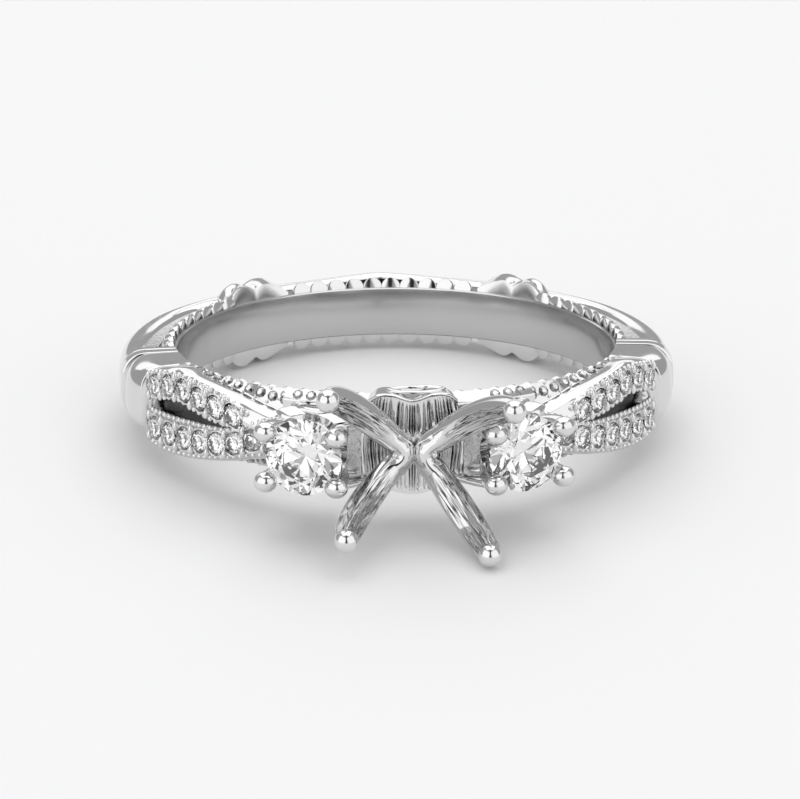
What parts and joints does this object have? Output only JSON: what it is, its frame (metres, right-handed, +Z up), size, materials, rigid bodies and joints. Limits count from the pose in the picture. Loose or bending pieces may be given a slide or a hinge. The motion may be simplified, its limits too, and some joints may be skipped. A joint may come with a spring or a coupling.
{
  "type": "split shank engagement ring mount",
  "caption": "Polished white gold engagement ring with split pave shoulders, round side stones and an open claw head for a centre stone, lying on its side.",
  "frame": {"origin": "the centre of the finger hole, halfway along the hole", "axes": "+X to the ring's right seen from the head, +Y from the head to the back of the ring, +Z up from the surface it lies on"},
  "size_m": [0.0216, 0.0265, 0.0069],
  "materials": {
    "white_gold": "polished white gold with a rhodium finish",
    "side_stone": "clear cut stone",
    "pave_stone": "clear small cut stones"
  },
  "bodies": {
    "root": {"ring_mount": "white_gold", "side_stone_left": "side_stone", "side_stone_right": "side_stone", "strand_stones_left_upper": "pave_stone", "strand_stones_left_lower": "pave_stone", "strand_stones_right_upper": "pave_stone", "strand_stones_right_lower": "pave_stone", "face_stones_left": "pave_stone", "face_stones_right": "pave_stone"}
  },
  "joints": []
}
